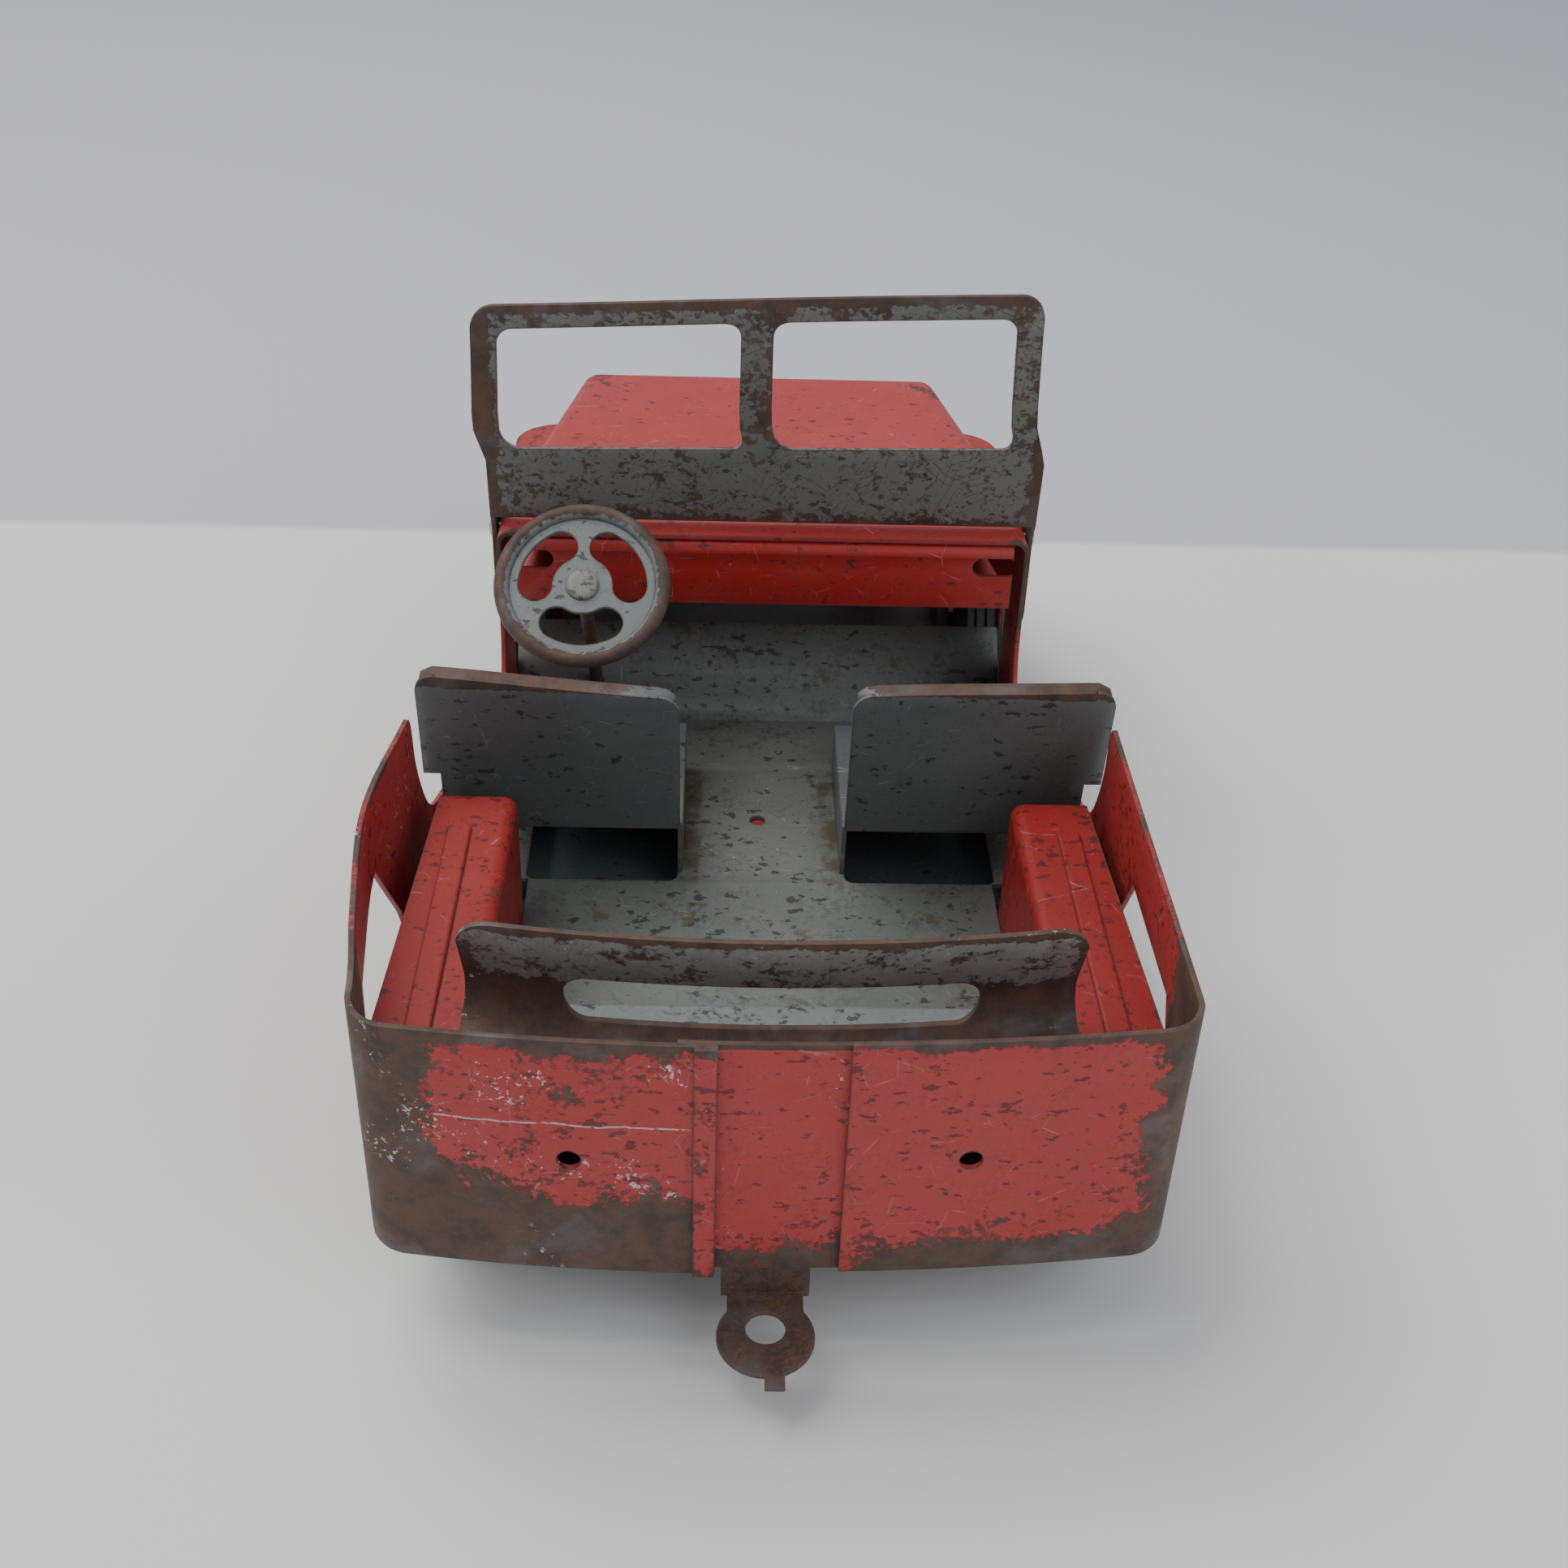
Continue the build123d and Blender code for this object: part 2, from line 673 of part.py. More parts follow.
save(windshield_frame.part, "windshield_frame")

with BuildPart() as windshield_rivets:
    with BuildSketch(Plane.XY.offset(pivot_z)):
        with BuildLine():
            inner_x = cowl_half - sheet - 1.6
            outer_x = screen_half + 1.1
            core = Line((inner_x, pivot_y), (outer_x, pivot_y))
            dome = ThreePointArc(
                core @ 1,
                (outer_x - 0.35, pivot_y + 1.9),
                (screen_half, pivot_y + 2.9),
            )
            Polyline(
                dome @ 1,
                (screen_half, pivot_y + pivot_shank),
                (inner_x + 1.2, pivot_y + pivot_shank),
                (inner_x + 1.2, pivot_y + 2.4),
                (inner_x, pivot_y + 2.4),
                core @ 0,
            )
        make_face()
    revolve(axis=Axis((0, pivot_y, pivot_z), (1, 0, 0)))
    mirror(about=Plane.YZ)
save(windshield_rivets.part, "windshield_rivets")

# ---- steering wheel and column ---------------------------------------------------
rim_radius = 16.9
rim_section = 1.6
hub_to_toe = wheel_hub[2] - floor_top + toe_bottom_y - wheel_hub[1]
column_reach = hub_to_toe / (cos(tilt) + sin(tilt))
with BuildSketch() as spoke_gap:
    SlotArc(CenterArc((0, 0), 9.9, -31, 62), 7.2)

with BuildPart() as steering_wheel:
    with BuildSketch(wheel_plane):
        Circle(rim_radius - 0.4)
        Circle(column_radius + 0.02, mode=Mode.SUBTRACT)
        with PolarLocations(0, 3, start_angle=30):
            add(spoke_gap.sketch, mode=Mode.SUBTRACT)
    extrude(amount=-sheet)
    with BuildSketch(Plane(origin=wheel_hub, x_dir=(1, 0, 0), z_dir=wheel_plane.y_dir)):
        with Locations((rim_radius, 0)):
            Circle(rim_section)
    revolve(axis=Axis(wheel_hub, wheel_plane.z_dir))
save(steering_wheel.part, "steering_wheel")

with BuildPart() as steering_column:
    with BuildSketch(wheel_plane):
        Circle(column_radius)
    extrude(amount=-(column_reach + 2.5))
save(steering_column.part, "steering_column")

with BuildPart() as steering_rivet:
    with BuildSketch(wheel_plane):
        Circle(2.8)
    extrude(amount=1.3)
    fillet(steering_rivet.edges().sort_by(Axis.Z)[-1], radius=1.2)
save(steering_rivet.part, "steering_rivet")

# ---- axles and wheels ---------------------------------------------------------------
hub_radius = 3.0
hub_outer_x = wheel_inner_x + tyre_width
axle_half = hub_outer_x + 1.6
rim_outer = 14.5
for name, axle_y in (("axle_front", front_axle_y), ("axle_rear", rear_axle_y)):
    with BuildPart() as axle:
        with BuildSketch(Plane.YZ):
            with Locations((axle_y, wheel_radius)):
                Circle(axle_radius)
        extrude(amount=axle_half, both=True)
    save(axle.part, name)

with BuildPart() as axle_caps:
    with BuildSketch(Plane.XY.offset(wheel_radius)):
        with BuildLine():
            cap_x = hub_outer_x + 0.3
            Polyline(
                (cap_x, front_axle_y + axle_radius + 0.01),
                (cap_x, front_axle_y + 4.2),
                (cap_x + 0.7, front_axle_y + 4.2),
                (cap_x + 1.2, front_axle_y + 3.0),
                (cap_x + 1.2, front_axle_y + axle_radius + 0.01),
                close=True,
            )
        make_face()
    revolve(axis=Axis((0, front_axle_y, wheel_radius), (1, 0, 0)))
    mirror(about=Plane.YZ)
    front_pair = axle_caps.part
    add(front_pair.moved(Location((0, rear_axle_y - front_axle_y, 0))))
save(axle_caps.part, "axle_caps")

for corner, side, axle_y in (
    ("front_left", -1, front_axle_y),
    ("front_right", 1, front_axle_y),
    ("rear_left", -1, rear_axle_y),
    ("rear_right", 1, rear_axle_y),
):
    middle_x = wheel_inner_x + tyre_width / 2
    spin_axis = Axis((0, axle_y, wheel_radius), (1, 0, 0))
    with BuildPart() as wheel_disc:
        with BuildSketch(Plane.XY.offset(wheel_radius)):
            with BuildLine():
                bore_y = axle_y + axle_radius + running_gap
                Polyline(
                    (side * wheel_inner_x, bore_y),
                    (side * wheel_inner_x, axle_y + hub_radius),
                    (side * (middle_x + 1.6), axle_y + hub_radius + 0.6),
                    (side * (middle_x + 3.2), axle_y + 9.0),
                    (side * (wheel_inner_x + 3.0), axle_y + 12.0),
                    (side * (wheel_inner_x + 2.0), axle_y + rim_outer),
                    (side * (hub_outer_x - 1.2), axle_y + rim_outer),
                    (side * (hub_outer_x - 1.6), axle_y + 13.0),
                    (side * (middle_x + 4.8), axle_y + 9.6),
                    (side * (middle_x + 3.4), axle_y + hub_radius + 1.2),
                    (side * hub_outer_x, axle_y + hub_radius),
                    (side * hub_outer_x, bore_y),
                    close=True,
                )
            make_face()
        revolve(axis=spin_axis)
    save(wheel_disc.part, f"wheel_disc_{corner}")

    with BuildPart() as tyre:
        with BuildSketch(Plane.XY.offset(wheel_radius)):
            with BuildLine():
                Polyline(
                    (side * (wheel_inner_x + 1.6), axle_y + rim_outer),
                    (side * wheel_inner_x, axle_y + rim_outer + 2.5),
                    (side * wheel_inner_x, axle_y + 20.5),
                    (side * (wheel_inner_x + 2.6), axle_y + wheel_radius),
                    (side * (hub_outer_x - 2.6), axle_y + wheel_radius),
                    (side * hub_outer_x, axle_y + 20.5),
                    (side * hub_outer_x, axle_y + rim_outer + 2.5),
                    (side * (hub_outer_x - 1.6), axle_y + rim_outer),
                    close=True,
                )
            make_face()
            # tread grooves round the tyre
            for groove in (-2.6, 0, 2.6):
                with Locations((side * (middle_x + groove), axle_y + wheel_radius)):
                    Rectangle(0.9, 1.6, mode=Mode.SUBTRACT)
        revolve(axis=spin_axis)
    save(tyre.part, f"tyre_{corner}")

bracket_foot_z = 18.5
for name, axle_y, plate_z, ear_x in (
    ("axle_bracket_front", front_axle_y, fender_top - sheet - fit_gap, front_ear_x),
    ("axle_bracket_rear", rear_axle_y, floor_top - sheet - fit_gap, 44.0),
):
    with BuildPart() as axle_bracket:
        with BuildSketch(Plane.XZ.offset(-axle_y - 9)):
            with Locations((0, plate_z)):
                Rectangle(2 * ear_x, plate_z - bracket_foot_z, align=(Align.CENTER, Align.MAX))
            with Locations((0, plate_z - sheet)):
                Rectangle(
                    2 * (ear_x - sheet),
                    plate_z,
                    align=(Align.CENTER, Align.MAX),
                    mode=Mode.SUBTRACT,
                )
        extrude(amount=18)
        ear_edges = axle_bracket.edges().filter_by(Axis.X).group_by(Axis.Z)[0]
        fillet(ear_edges, radius=4)
        with BuildSketch(Plane.YZ):
            with Locations((axle_y, wheel_radius)):
                Circle(axle_radius + 0.02)
        extrude(amount=60, both=True, mode=Mode.SUBTRACT)
    save(axle_bracket.part, name)

# ---- tow hitch --------------------------------------------------------------------
with BuildPart() as tow_hitch:
    hitch_top = floor_top - sheet - fit_gap
    strap_y = -125.6
    with BuildSketch(Plane.YZ):
        with BuildLine():
            Polyline(
                (strap_y, hitch_z),
                (strap_y, hitch_top),
                (strap_y + 22, hitch_top),
                (strap_y + 22, hitch_top - sheet),
                (strap_y + sheet, hitch_top - sheet),
                (strap_y + sheet, hitch_z),
                close=True,
            )
        make_face()
    extrude(amount=hitch_half - 0.4, both=True)
    with BuildSketch(Plane.XY.offset(hitch_z)):
        with Locations((0, hitch_eye_y)):
            Circle(hitch_eye_radius)
        with Locations((0, (strap_y + hitch_eye_y) / 2 + 0.5)):
            Rectangle(2 * hitch_half - 3, strap_y - hitch_eye_y + 1)
        with Locations((1.4, hitch_eye_y - hitch_eye_radius - 0.8)):
            Rectangle(3.4, 3.4)
        with Locations((0, hitch_eye_y + 1.6)):
            Circle(hitch_hole_radius, mode=Mode.SUBTRACT)
    extrude(amount=sheet)
save(tow_hitch.part, "tow_hitch")
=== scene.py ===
"""Worn pressed-steel toy off-road car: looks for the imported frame. Metres."""
import json
import math

import bmesh
import bpy
from mathutils import Matrix, Vector


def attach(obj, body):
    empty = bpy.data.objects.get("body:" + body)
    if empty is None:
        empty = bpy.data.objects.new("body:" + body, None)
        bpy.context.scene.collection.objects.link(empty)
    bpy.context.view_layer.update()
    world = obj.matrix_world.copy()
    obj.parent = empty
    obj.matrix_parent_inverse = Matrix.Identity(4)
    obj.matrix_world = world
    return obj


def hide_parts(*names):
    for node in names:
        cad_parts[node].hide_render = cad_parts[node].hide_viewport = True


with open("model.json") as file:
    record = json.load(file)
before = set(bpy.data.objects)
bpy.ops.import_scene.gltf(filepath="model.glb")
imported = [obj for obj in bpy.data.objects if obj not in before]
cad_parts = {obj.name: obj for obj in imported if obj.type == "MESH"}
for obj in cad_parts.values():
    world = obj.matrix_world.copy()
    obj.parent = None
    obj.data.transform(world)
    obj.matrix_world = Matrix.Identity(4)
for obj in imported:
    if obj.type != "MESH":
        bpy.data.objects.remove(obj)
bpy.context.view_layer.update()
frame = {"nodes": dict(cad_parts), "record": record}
nodes = frame["nodes"]
slot_of = {part["node"]: part["material_slot"] for part in frame["record"]["subparts"]}
body_of = {
    node: body
    for body, members in frame["record"]["behaviour"]["bodies"].items()
    for node in members
}
MM = 0.001

# offsets per unit of seed, which move one texture away from the next
NOISE_SPREAD = (17.3, 9.1, 23.7)
CELL_SPREAD = (11.9, 5.3, 7.7)


# ---- shader building blocks ------------------------------------------------
class Shade:
    """A material and short calls for its nodes. Positions are in millimetres."""

    def __init__(self, name):
        self.material = bpy.data.materials.new(name)
        self.material.use_nodes = True
        self.tree = self.material.node_tree
        self.tree.nodes.clear()
        output = self.tree.nodes.new("ShaderNodeOutputMaterial")
        self.bsdf = self.tree.nodes.new("ShaderNodeBsdfPrincipled")
        self.tree.links.new(self.bsdf.outputs[0], output.inputs[0])
        coordinates = self.tree.nodes.new("ShaderNodeTexCoord")
        to_mm = (1 / MM, 1 / MM, 1 / MM)
        self.place = self.vector("MULTIPLY", coordinates.outputs["Object"], to_mm)
        split = self.tree.nodes.new("ShaderNodeSeparateXYZ")
        self.link(self.place, split.inputs[0])
        self.x, self.y, self.z = split.outputs

    def link(self, source, target):
        if isinstance(source, (int, float, tuple, list)):
            target.default_value = source
        else:
            self.tree.links.new(source, target)

    def math(self, operation, first, second=0.0, clamp=False):
        node = self.tree.nodes.new("ShaderNodeMath")
        node.operation = operation
        node.use_clamp = clamp
        self.link(first, node.inputs[0])
        self.link(second, node.inputs[1])
        return node.outputs[0]

    def vector(self, operation, first, second):
        node = self.tree.nodes.new("ShaderNodeVectorMath")
        node.operation = operation
        self.link(first, node.inputs[0])
        self.link(second, node.inputs[1])
        return node.outputs[0]

    def measure(self, operation, first, second=(0, 0, 0)):
        """A vector operation whose result is a number: a length or a dot product."""
        return self.vector(operation, first, second).node.outputs["Value"]

    def add(self, *values):
        total = values[0]
        for value in values[1:]:
            total = self.math("ADD", total, value)
        return total

    def most(self, *values):
        largest = values[0]
        for value in values[1:]:
            largest = self.math("MAXIMUM", largest, value)
        return largest

    def mul(self, first, second):
        return self.math("MULTIPLY", first, second)

    def absolute(self, value):
        return self.math("ABSOLUTE", value)

    def step(self, value, low, high, start=0.0, end=1.0):
        """Smooth step from start at low to end at high."""
        node = self.tree.nodes.new("ShaderNodeMapRange")
        node.interpolation_type = "SMOOTHSTEP"
        self.link(value, node.inputs[0])
        node.inputs[1].default_value = low
        node.inputs[2].default_value = high
        node.inputs[3].default_value = start
        node.inputs[4].default_value = end
        return node.outputs[0]

    def fall(self, value, low, high):
        """One below low, falling smoothly to zero at high."""
        return self.step(value, low, high, 1.0, 0.0)

    def band(self, value, low, high, soft):
        """One between low and high, falling to zero over soft outside."""
        return self.mul(self.step(value, low - soft, low), self.fall(value, high, high + soft))

    def moved(self, stretch, seed, spread):
        """The position, stretched along each axis and shifted by the seed."""
        node = self.vector("MULTIPLY_ADD", self.place, stretch).node
        node.inputs[2].default_value = [seed * offset for offset in spread]
        return node.outputs[0]

    def noise(self, scale, detail=4.0, roughness=0.55, stretch=(1, 1, 1), seed=0.0, lumpy=0.0):
        """Noise around 0.5; scale is features per millimetre."""
        node = self.tree.nodes.new("ShaderNodeTexNoise")
        node.inputs["Scale"].default_value = scale
        node.inputs["Detail"].default_value = detail
        node.inputs["Roughness"].default_value = roughness
        node.inputs["Distortion"].default_value = lumpy
        self.link(self.moved(stretch, seed, NOISE_SPREAD), node.inputs["Vector"])
        return node.outputs[0]

    def cells(self, scale, feature="F1", stretch=(1, 1, 1), seed=0.0):
        """The outputs of a Voronoi texture; scale is cells per millimetre."""
        node = self.tree.nodes.new("ShaderNodeTexVoronoi")
        node.feature = feature
        node.inputs["Scale"].default_value = scale
        self.link(self.moved(stretch, seed, CELL_SPREAD), node.inputs["Vector"])
        return node.outputs

    def mix(self, factor, first, second):
        """Colour mix: first where factor is 0, second where it is 1."""
        node = self.tree.nodes.new("ShaderNodeMix")
        node.data_type = "RGBA"
        self.link(factor, node.inputs[0])
        # the mix node's colour sockets are inputs 6 and 7 and output 2
        for socket, colour in ((6, first), (7, second)):
            value = (*colour, 1.0) if isinstance(colour, tuple) else colour
            self.link(value, node.inputs[socket])
        return node.outputs[2]

    def blend(self, factor, first, second):
        """Number mix: first where factor is 0, second where it is 1."""
        node = self.tree.nodes.new("ShaderNodeMix")
        self.link(factor, node.inputs[0])
        self.link(first, node.inputs[2])
        self.link(second, node.inputs[3])
        return node.outputs[0]

    def edges(self, radius=0.7):
        """One along sharp edges within the radius, zero on flats."""
        rounded = self.tree.nodes.new("ShaderNodeBevel")
        rounded.samples = 4
        rounded.inputs["Radius"].default_value = radius * MM
        normal = self.tree.nodes.new("ShaderNodeNewGeometry").outputs["Normal"]
        # the cosine between the rounded and the true normal drops at an edge
        return self.step(self.measure("DOT_PRODUCT", rounded.outputs[0], normal), 0.995, 0.86)

    def bump(self, height, distance, strength=1.0, onto=None):
        """Normal for a height; distance is in millimetres, onto is the normal below it."""
        node = self.tree.nodes.new("ShaderNodeBump")
        node.inputs["Strength"].default_value = strength
        node.inputs["Distance"].default_value = distance * MM
        self.link(height, node.inputs["Height"])
        if onto is not None:
            self.link(onto, node.inputs["Normal"])
        return node.outputs[0]


# ---- colours, linear -------------------------------------------------------
RED_FRESH = (0.37, 0.012, 0.010)
RED_FADED = (0.42, 0.053, 0.050)
GREY_FRESH = (0.105, 0.122, 0.118)
GREY_FADED = (0.20, 0.222, 0.210)
GREY_WARM = (0.235, 0.23, 0.205)
RUST_DARK = (0.058, 0.040, 0.034)
RUST_BROWN = (0.115, 0.064, 0.043)
RUST_GRAIN = (0.17, 0.10, 0.06)
RUST_PIT = (0.22, 0.12, 0.06)
RUBBED_EDGE = (0.20, 0.15, 0.12)
STEEL_GREY = (0.16, 0.15, 0.15)
PRIMER = (0.62, 0.58, 0.56)
WELL_FRESH = (0.28, 0.012, 0.010)
WELL_FADED = (0.36, 0.032, 0.028)
SCREEN_FRESH = (0.135, 0.14, 0.13)
SCREEN_FADED = (0.19, 0.187, 0.165)
FLOOR_FRESH = (0.120, 0.134, 0.120)
FLOOR_FADED = (0.205, 0.215, 0.195)
# painted shade: dark blue-grey for the sheets put under the seats and behind the toe board,
# standing in for the shade inside the body
PAINTED_SHADE_UNDERSIDE_FRESH = (0.095, 0.125, 0.130)
PAINTED_SHADE_UNDERSIDE_FADED = (0.120, 0.150, 0.152)
PLATED_DULL = (0.34, 0.33, 0.32)
PLATED_BRIGHT = (0.50, 0.49, 0.47)
RUBBER_BLACK = (0.016, 0.016, 0.017)
RUBBER_DUST = (0.085, 0.080, 0.072)
RUBBER_SCUFF = (0.12, 0.115, 0.11)
FLOOR_STAIN = (0.085, 0.068, 0.035)
FLOOR_SPECK = (0.5, 0.5, 0.47)
TABLE_NEAR = ((0.80, 0.80, 0.78), (0.85, 0.85, 0.82))
TABLE_BEYOND = (0.60, 0.60, 0.64)
ROOM_COLOUR = (0.80, 0.82, 0.90, 1)


# ---- materials ---------------------------------------------------------------
def tinted(colour, share, lift=0.0):
    """A colour scaled by share and lifted, kept within one."""
    return tuple(min(1.0, share * part + lift) for part in colour)


def scratches(s, seed):
    """Thin broken lines that cross in three directions."""
    lines = []
    for index, (angle, scale) in enumerate(((0.3, 0.10), (1.9, 0.07), (2.7, 0.13))):
        stretch = (math.cos(angle), 1.0, math.sin(angle) * 2.2)
        line = s.cells(scale, "DISTANCE_TO_EDGE", stretch, seed + 5 + index)[0]
        gaps = s.step(s.noise(0.16, 3, seed=seed + 9 + index), 0.56, 0.66)
        lines.append(s.mul(s.fall(line, 0.0, 0.010), gaps))
    return s.most(*lines)


def strokes(s, seed, strength):
    """Short dark strokes, scraped in several directions."""
    found = []
    for index, angle in enumerate((0.5, 2.5, 1.2)):
        along = (0.30 * math.cos(angle), 1.0, 0.30 * math.sin(angle))
        across = s.measure("DOT_PRODUCT", s.place, (-math.sin(angle), 0, math.cos(angle)))
        wander = s.noise(0.35, 3, 0.6, stretch=along, seed=seed + 20 + index)
        comb = s.math("PINGPONG", s.add(s.mul(across, 0.55), s.mul(wander, 2.6)), 0.5)
        here = s.step(s.noise(0.13, 4, 0.6, seed=seed + 30 + index), 0.55, 0.60)
        found.append(s.mul(s.mul(s.fall(comb, 0.015, 0.055), here), strength))
    return found


def enamel(name, fresh, faded, fade=0.5, wear=-0.16, edge_wear=0.30, region=None,
           nicks=0.35, primer=0.0, seed=0.0, grime=0.35, chip_scale=1.0, scuffs=0.0,
           extra=None):
    """Old enamel over steel: fading, nicks, chips down to brown steel, dirt and scratches.

    wear and edge_wear push the chips out over flats and edges, and region(s) adds to them
    by place. extra(s, colour) paints marks of this part's own on top.
    """
    s = Shade(name)
    broad = s.noise(0.022, 3, 0.5, seed=seed)
    patchy = s.noise(0.14 * chip_scale, 6, 0.62, seed=seed + 1, lumpy=0.4)
    fine = s.noise(0.9, 5, 0.6, seed=seed + 2)
    grain = s.noise(5.0, 4, 0.6, seed=seed + 3)

    # paint colour: fading in clouds, faint dirt, sparse pale flecks
    cloud = s.step(s.add(s.mul(broad, 0.6), s.mul(patchy, 0.4)), 0.36, 0.64)
    paint = s.mix(s.blend(cloud, max(fade - 0.25, 0.0), min(fade + 0.25, 1.0)), fresh, faded)
    dirt = s.mul(s.step(s.add(s.mul(patchy, 0.5), s.mul(fine, 0.5)), 0.48, 0.66), grime)
    paint = s.mix(dirt, paint, tinted(fresh, 0.42))
    fleck = s.mul(s.step(fine, 0.62, 0.70), 0.35)
    paint = s.mix(fleck, paint, tinted(faded, 1.35, 0.02))

    lines = scratches(s, seed)
    paint = s.mix(s.mul(lines, 0.55), paint, tinted(faded, 0.55, 0.22))

    # chips: noise pushed up by edges and by the worn regions
    field = s.add(s.mul(patchy, 0.62), s.mul(fine, 0.38), wear)
    field = s.add(field, s.mul(s.edges(), edge_wear))
    if region is not None:
        field = s.add(field, region(s))
    chips = s.step(field, 0.485, 0.515)
    halo = s.mul(s.step(field, 0.455, 0.485), s.math("SUBTRACT", 1.0, chips))

    # nicks: small irregular marks, worn to dark primer rather than to the steel
    marks = s.noise(0.42, 4, 0.6, stretch=(0.75, 1.0, 1.5), seed=seed + 4)
    crowd = s.mul(s.step(s.noise(0.045, 3, 0.5, seed=seed + 6), 0.40, 0.62), 0.05)
    nick = s.step(s.add(marks, crowd), 0.675 - 0.12 * nicks, 0.69 - 0.12 * nicks)
    paint = s.mix(s.mul(nick, 0.85), paint, tinted(fresh, 0.25, 0.012))
    bare = s.most(chips, *strokes(s, seed, scuffs)) if scuffs > 0 else chips

    # bare metal: mottled brown, dark patches, rubbed grey
    mottle = s.noise(0.17, 8, 0.72, seed=seed + 10, lumpy=0.15)
    metal = s.mix(s.step(mottle, 0.34, 0.64), RUST_DARK, RUST_BROWN)
    rubbed = s.mul(s.step(s.noise(0.08, 5, 0.6, seed=seed + 12), 0.50, 0.66), 0.55)
    metal = s.mix(rubbed, metal, STEEL_GREY)
    metal = s.mix(s.mul(s.step(grain, 0.56, 0.72), 0.35), metal, RUST_GRAIN)

    colour = s.mix(bare, paint, metal)
    if primer > 0:
        specks = s.mul(s.step(s.noise(0.75, 5, 0.7, seed=seed + 14), 0.60, 0.66),
                       s.step(s.noise(0.06, 2, seed=seed + 15), 0.60 - primer * 0.1, 0.66))
        colour = s.mix(s.mul(specks, 0.8), colour, PRIMER)
    colour = s.mix(s.mul(halo, 0.5), colour, tinted(fresh, 0.55))
    if extra is not None:
        colour = extra(s, colour)

    gloss = s.blend(cloud, 0.40, 0.52)
    gloss = s.blend(s.step(grain, 0.45, 0.65), gloss, s.add(gloss, 0.07))
    rough = s.blend(bare, gloss, s.blend(rubbed, 0.70, 0.46))
    s.link(colour, s.bsdf.inputs["Base Color"])
    s.link(rough, s.bsdf.inputs["Roughness"])
    s.link(s.mul(s.mul(bare, rubbed), 0.85), s.bsdf.inputs["Metallic"])
    s.bsdf.inputs["Specular IOR Level"].default_value = 0.42
    s.bsdf.inputs["Coat Weight"].default_value = 0.06
    s.bsdf.inputs["Coat Roughness"].default_value = 0.3

    surface = s.add(s.mul(bare, -0.8), s.mul(mottle, s.mul(bare, 0.7)), s.mul(lines, -0.25))
    normal = s.bump(surface, 0.11)
    normal = s.bump(s.add(s.mul(grain, 0.5), s.mul(fine, 0.6)), 0.035, onto=normal)
    normal = s.bump(broad, 1.2, strength=0.5, onto=normal)
    s.link(normal, s.bsdf.inputs["Normal"])
    return s.material


def rusty(name, seed=0.0, light=0.5, sheen=0.35):
    """Bare steel gone brown, pitted, rubbed grey in places."""
    s = Shade(name)
    mottle = s.noise(0.35, 7, 0.68, seed=seed, lumpy=0.9)
    pits = s.noise(1.6, 5, 0.6, seed=seed + 1)
    grain = s.noise(6.0, 3, 0.6, seed=seed + 2)
    metal = s.mix(s.step(mottle, 0.36, 0.62), RUST_DARK, RUST_BROWN)
    metal = s.mix(s.mul(s.step(pits, 0.52, 0.70), light), metal, RUST_PIT)
    rubbed = s.mul(s.step(s.noise(0.12, 5, 0.6, seed=seed + 3), 0.48, 0.64), sheen)
    metal = s.mix(rubbed, metal, STEEL_GREY)
    metal = s.mix(s.mul(s.edges(0.4), 0.5), metal, RUBBED_EDGE)
    s.link(metal, s.bsdf.inputs["Base Color"])
    s.link(s.blend(rubbed, 0.74, 0.42), s.bsdf.inputs["Roughness"])
    s.link(s.mul(rubbed, 0.9), s.bsdf.inputs["Metallic"])
    normal = s.bump(s.add(mottle, s.mul(pits, 0.6)), 0.10)
    normal = s.bump(grain, 0.03, onto=normal)
    s.link(normal, s.bsdf.inputs["Normal"])
    return s.material


def plated(name, seed=0.0):
    """Dull plated steel with brown spotting."""
    s = Shade(name)
    spots = s.step(s.noise(0.7, 6, 0.7, seed=seed), 0.52, 0.60)
    cloud = s.noise(0.3, 4, 0.5, seed=seed + 1)
    bright = s.mix(s.step(cloud, 0.35, 0.65), PLATED_DULL, PLATED_BRIGHT)
    s.link(s.mix(s.mul(spots, 0.8), bright, RUST_BROWN), s.bsdf.inputs["Base Color"])
    s.link(s.blend(spots, 0.34, 0.72), s.bsdf.inputs["Roughness"])
    s.link(s.blend(spots, 0.95, 0.1), s.bsdf.inputs["Metallic"])
    s.link(s.bump(s.add(spots, s.mul(cloud, 0.4)), 0.05), s.bsdf.inputs["Normal"])
    return s.material


def tyre_rubber(name):
    """Old black rubber, dusty in the grooves, scuffed on the shoulders."""
    s = Shade(name)
    dust = s.step(s.noise(0.25, 6, 0.65), 0.42, 0.66)
    scuff = s.step(s.noise(1.2, 5, 0.7, stretch=(2.5, 1, 1), seed=3), 0.52, 0.68)
    worn = s.mix(s.mul(dust, 0.5), RUBBER_BLACK, RUBBER_DUST)
    s.link(s.mix(s.mul(scuff, 0.3), worn, RUBBER_SCUFF), s.bsdf.inputs["Base Color"])
    s.link(s.blend(dust, 0.58, 0.82), s.bsdf.inputs["Roughness"])
    s.link(s.bump(s.add(scuff, s.noise(2.5, 4, 0.6, seed=4)), 0.06), s.bsdf.inputs["Normal"])
    return s.material


# ---- worn regions, in the car's own millimetres -------------------------------
STEERING_HUB = (-38.3, 6.0, 77.8)
STEERING_RAKE = math.radians(51.5)


def rear_sheet(s):
    """One on the rear panel, zero along the side walls."""
    return s.fall(s.y, -108, -100)


